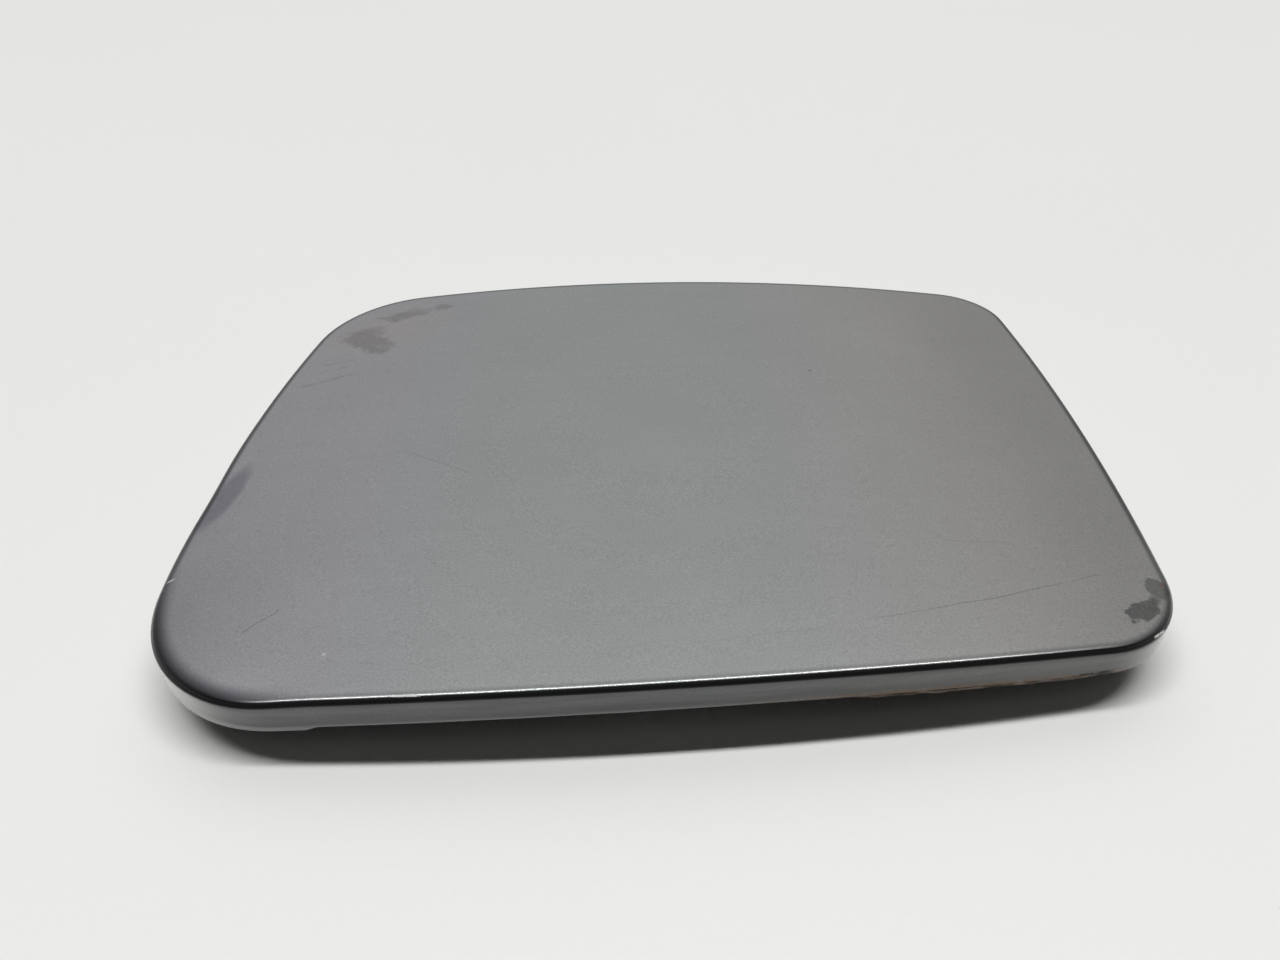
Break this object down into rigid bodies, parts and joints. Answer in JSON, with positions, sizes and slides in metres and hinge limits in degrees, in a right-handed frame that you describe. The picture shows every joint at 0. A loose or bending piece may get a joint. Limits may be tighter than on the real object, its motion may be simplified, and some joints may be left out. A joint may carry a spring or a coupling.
{
  "type": "car fuel door",
  "caption": "Crowned sheet-metal car fuel door with turned-down flange, bonded inner panel, sprung swan-neck hinge on a bolt-on base, and a latch tab with a lock eye.",
  "frame": {"origin": "middle of the line between the hinge base's two screw holes, on its mounting face", "axes": "+X along the hinge pin, +Y from the latch to the hinge, +Z out of the car, away from the mounting face"},
  "size_m": [0.1795, 0.1699, 0.0213],
  "materials": {
    "body_paint": "dark grey metallic with clear coat, scratched",
    "inner_paint": "thin dull coat of the body colour",
    "sealer": "rough, brown with dirt",
    "mastic": "matt",
    "zinc_steel": "zinc plated, dulled",
    "pin_steel": "bright drawn steel",
    "spring_steel": "dark drawn wire",
    "nylon": "satin",
    "black_rubber": "matt",
    "black_plastic": "fine grain"
  },
  "bodies": {
    "base": {"hinge_base": "zinc_steel", "hinge_pin": "pin_steel", "pin_clip": "spring_steel", "bush_left": "nylon", "bush_right": "nylon", "hinge_spring": "spring_steel"},
    "flap": {"outer_skin": "body_paint", "inner_panel": "inner_paint", "seam_sealer": "sealer", "mastic_pads": "mastic", "hinge_arm": "zinc_steel", "arm_rivets": "pin_steel", "latch_striker": "zinc_steel", "striker_rivets": "pin_steel", "buffer_left": "black_rubber", "buffer_right": "black_rubber", "cap_holder": "black_plastic"}
  },
  "joints": [
    {"name": "flap_hinge", "type": "hinge", "parent": "base", "child": "flap", "pos_m": [0, -0.014, 0.01006], "axis": [-1, 0, 0], "range_deg": [0, 80], "stiffness_Nm_per_rad": 0.1, "springref_deg": -85.94, "deforming": ["hinge_spring"]}
  ]
}
